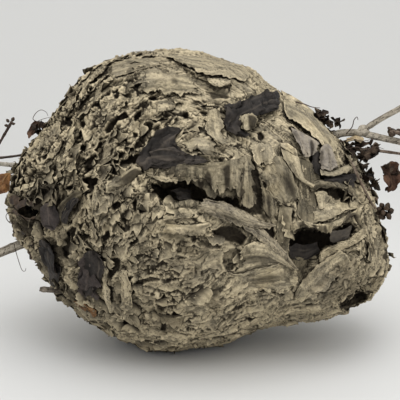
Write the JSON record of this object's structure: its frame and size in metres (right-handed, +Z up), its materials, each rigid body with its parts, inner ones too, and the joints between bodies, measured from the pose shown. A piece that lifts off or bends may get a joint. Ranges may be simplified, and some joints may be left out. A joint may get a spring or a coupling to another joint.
{
  "type": "hornet nest",
  "caption": "Dried paper nest of a hornet colony, an egg-shaped grey envelope with torn hollows, grown around twigs and dead leaves, lying on its side.",
  "frame": {"origin": "middle of the flat patch on the nest's underside that it rests on", "axes": "+Z up; the side with the big tear faces -Y; +X towards the forked branch and the small lobe"},
  "size_m": [0.3453, 0.2401, 0.2359],
  "materials": {
    "nest_paper": "matte",
    "bark": "matte",
    "dark_leaf": "matte",
    "brown_leaf": "matte",
    "tan_leaf": "matte"
  },
  "bodies": {
    "root": {"nest_envelope": "nest_paper", "right_branch_stub": "bark", "right_branch_upper": "bark", "right_branch_lower": "bark", "right_bud_twig": "bark", "right_thin_twig": "bark", "seed_stalk": "bark", "left_thick_stub": "bark", "left_short_stub": "bark", "left_pale_stub": "bark", "left_thin_twig": "bark", "left_bud_shoot": "bark", "leaf_tear_brow": "dark_leaf", "leaf_brow_tip": "dark_leaf", "leaf_upper": "dark_leaf", "leaf_left_oval": "dark_leaf", "leaf_left_strip": "dark_leaf", "leaf_left_long": "dark_leaf", "leaf_left_charcoal": "dark_leaf", "seed_cluster": "dark_leaf", "leaf_left_orange": "brown_leaf", "leaf_left_small": "brown_leaf", "leaf_right_dark": "brown_leaf", "leaf_right_mass": "brown_leaf", "leaf_right_strip": "brown_leaf", "leaf_right_serrated": "brown_leaf", "leaf_right_tan": "tan_leaf"}
  },
  "joints": []
}
